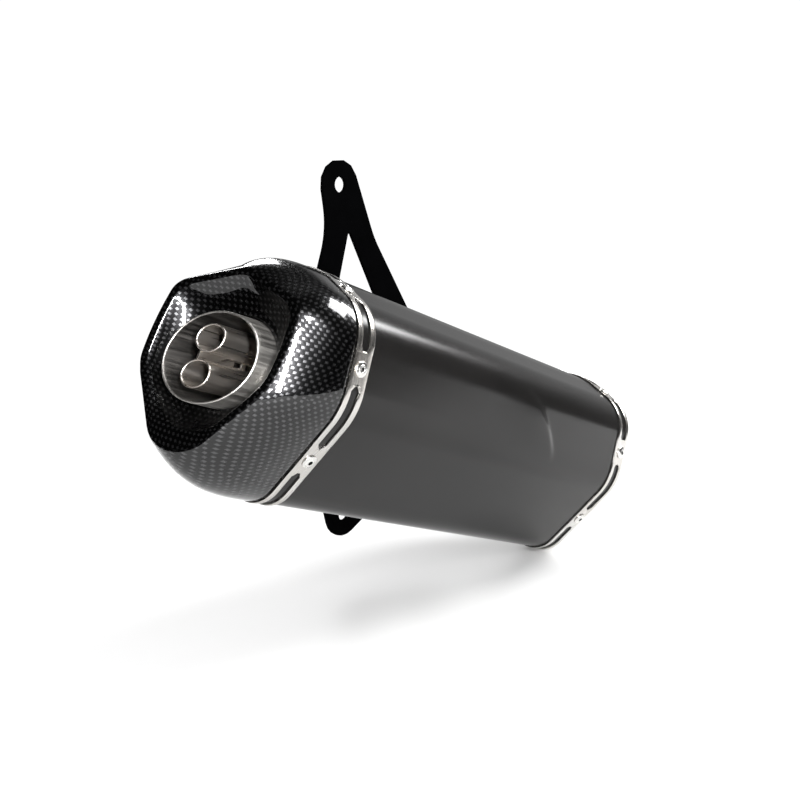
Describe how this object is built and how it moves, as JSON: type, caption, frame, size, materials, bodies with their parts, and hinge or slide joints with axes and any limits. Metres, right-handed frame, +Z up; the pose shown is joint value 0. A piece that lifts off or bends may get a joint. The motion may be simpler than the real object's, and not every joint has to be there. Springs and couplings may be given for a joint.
{
  "type": "racing exhaust silencer",
  "caption": "Slip-on racing exhaust silencer: faceted black sleeve, carbon end cap with slash-cut twin outlet, riveted bands, inlet clamp and side bracket.",
  "frame": {"origin": "centre of the bounding box footprint, at the lowest point, with the silencer pitched as installed (outlet high, inlet low)", "axes": "+X towards the inlet (vehicle forward), +Y inboard towards the bracket side, +Z up; the silencer axis is pitched 19.8 degrees down towards +X"},
  "size_m": [0.4554, 0.1336, 0.3107],
  "materials": {
    "carbon_cap": "woven carbon fibre under gloss clear coat",
    "coated_sleeve": "satin black coated sheet",
    "black_bracket": "matte black powder coat",
    "brushed_band": "bright stainless strip, fine brushed",
    "rivet_steel": "bright stainless",
    "fastener_steel": "zinc plated",
    "outlet_steel": "brushed stainless tube",
    "inlet_steel": "pressed stainless",
    "inner_steel": "plain sheet",
    "packing": "mineral wool mat",
    "graphite": "pressed graphite"
  },
  "bodies": {
    "silencer": {"bracket_bolt_1": "fastener_steel", "bracket_bolt_2": "fastener_steel", "bracket_boss_1": "coated_sleeve", "bracket_boss_2": "coated_sleeve", "bracket_plate": "black_bracket", "bracket_washer_1": "fastener_steel", "bracket_washer_2": "fastener_steel", "end_cap": "carbon_cap", "front_baffle": "inner_steel", "front_band": "brushed_band", "front_rivet_1": "rivet_steel", "front_rivet_2": "rivet_steel", "front_rivet_3": "rivet_steel", "front_rivet_4": "rivet_steel", "front_rivet_5": "rivet_steel", "front_rivet_6": "rivet_steel", "inlet_cap": "inlet_steel", "inlet_pipe": "inlet_steel", "inlet_seal": "graphite", "lower_tip_pipe": "outlet_steel", "mid_baffle": "inner_steel", "outlet_baffle": "outlet_steel", "outlet_bulkhead": "inner_steel", "outlet_tube": "outlet_steel", "perforated_core": "inner_steel", "rear_band": "brushed_band", "rear_rivet_1": "rivet_steel", "rear_rivet_2": "rivet_steel", "rear_rivet_3": "rivet_steel", "rear_rivet_4": "rivet_steel", "rear_rivet_5": "rivet_steel", "rear_rivet_6": "rivet_steel", "sleeve": "coated_sleeve", "tip_web": "outlet_steel", "upper_tip_pipe": "outlet_steel", "wool_packing": "packing"},
    "clamp": {"clamp_band": "brushed_band", "clamp_nut": "fastener_steel"},
    "clamp_screw": {"clamp_screw": "fastener_steel"}
  },
  "joints": [
    {"name": "clamp_swivel", "type": "hinge", "parent": "silencer", "child": "clamp", "pos_m": [0.20994, -0.0064, 0.05514], "axis": [0.9409, 0, -0.3387], "continuous": true},
    {"name": "clamp_screw_turn", "type": "hinge", "parent": "clamp", "child": "clamp_screw", "pos_m": [0.21812, 0.01385, 0.07784], "axis": [0.2177, -0.766, 0.6048], "continuous": true}
  ]
}
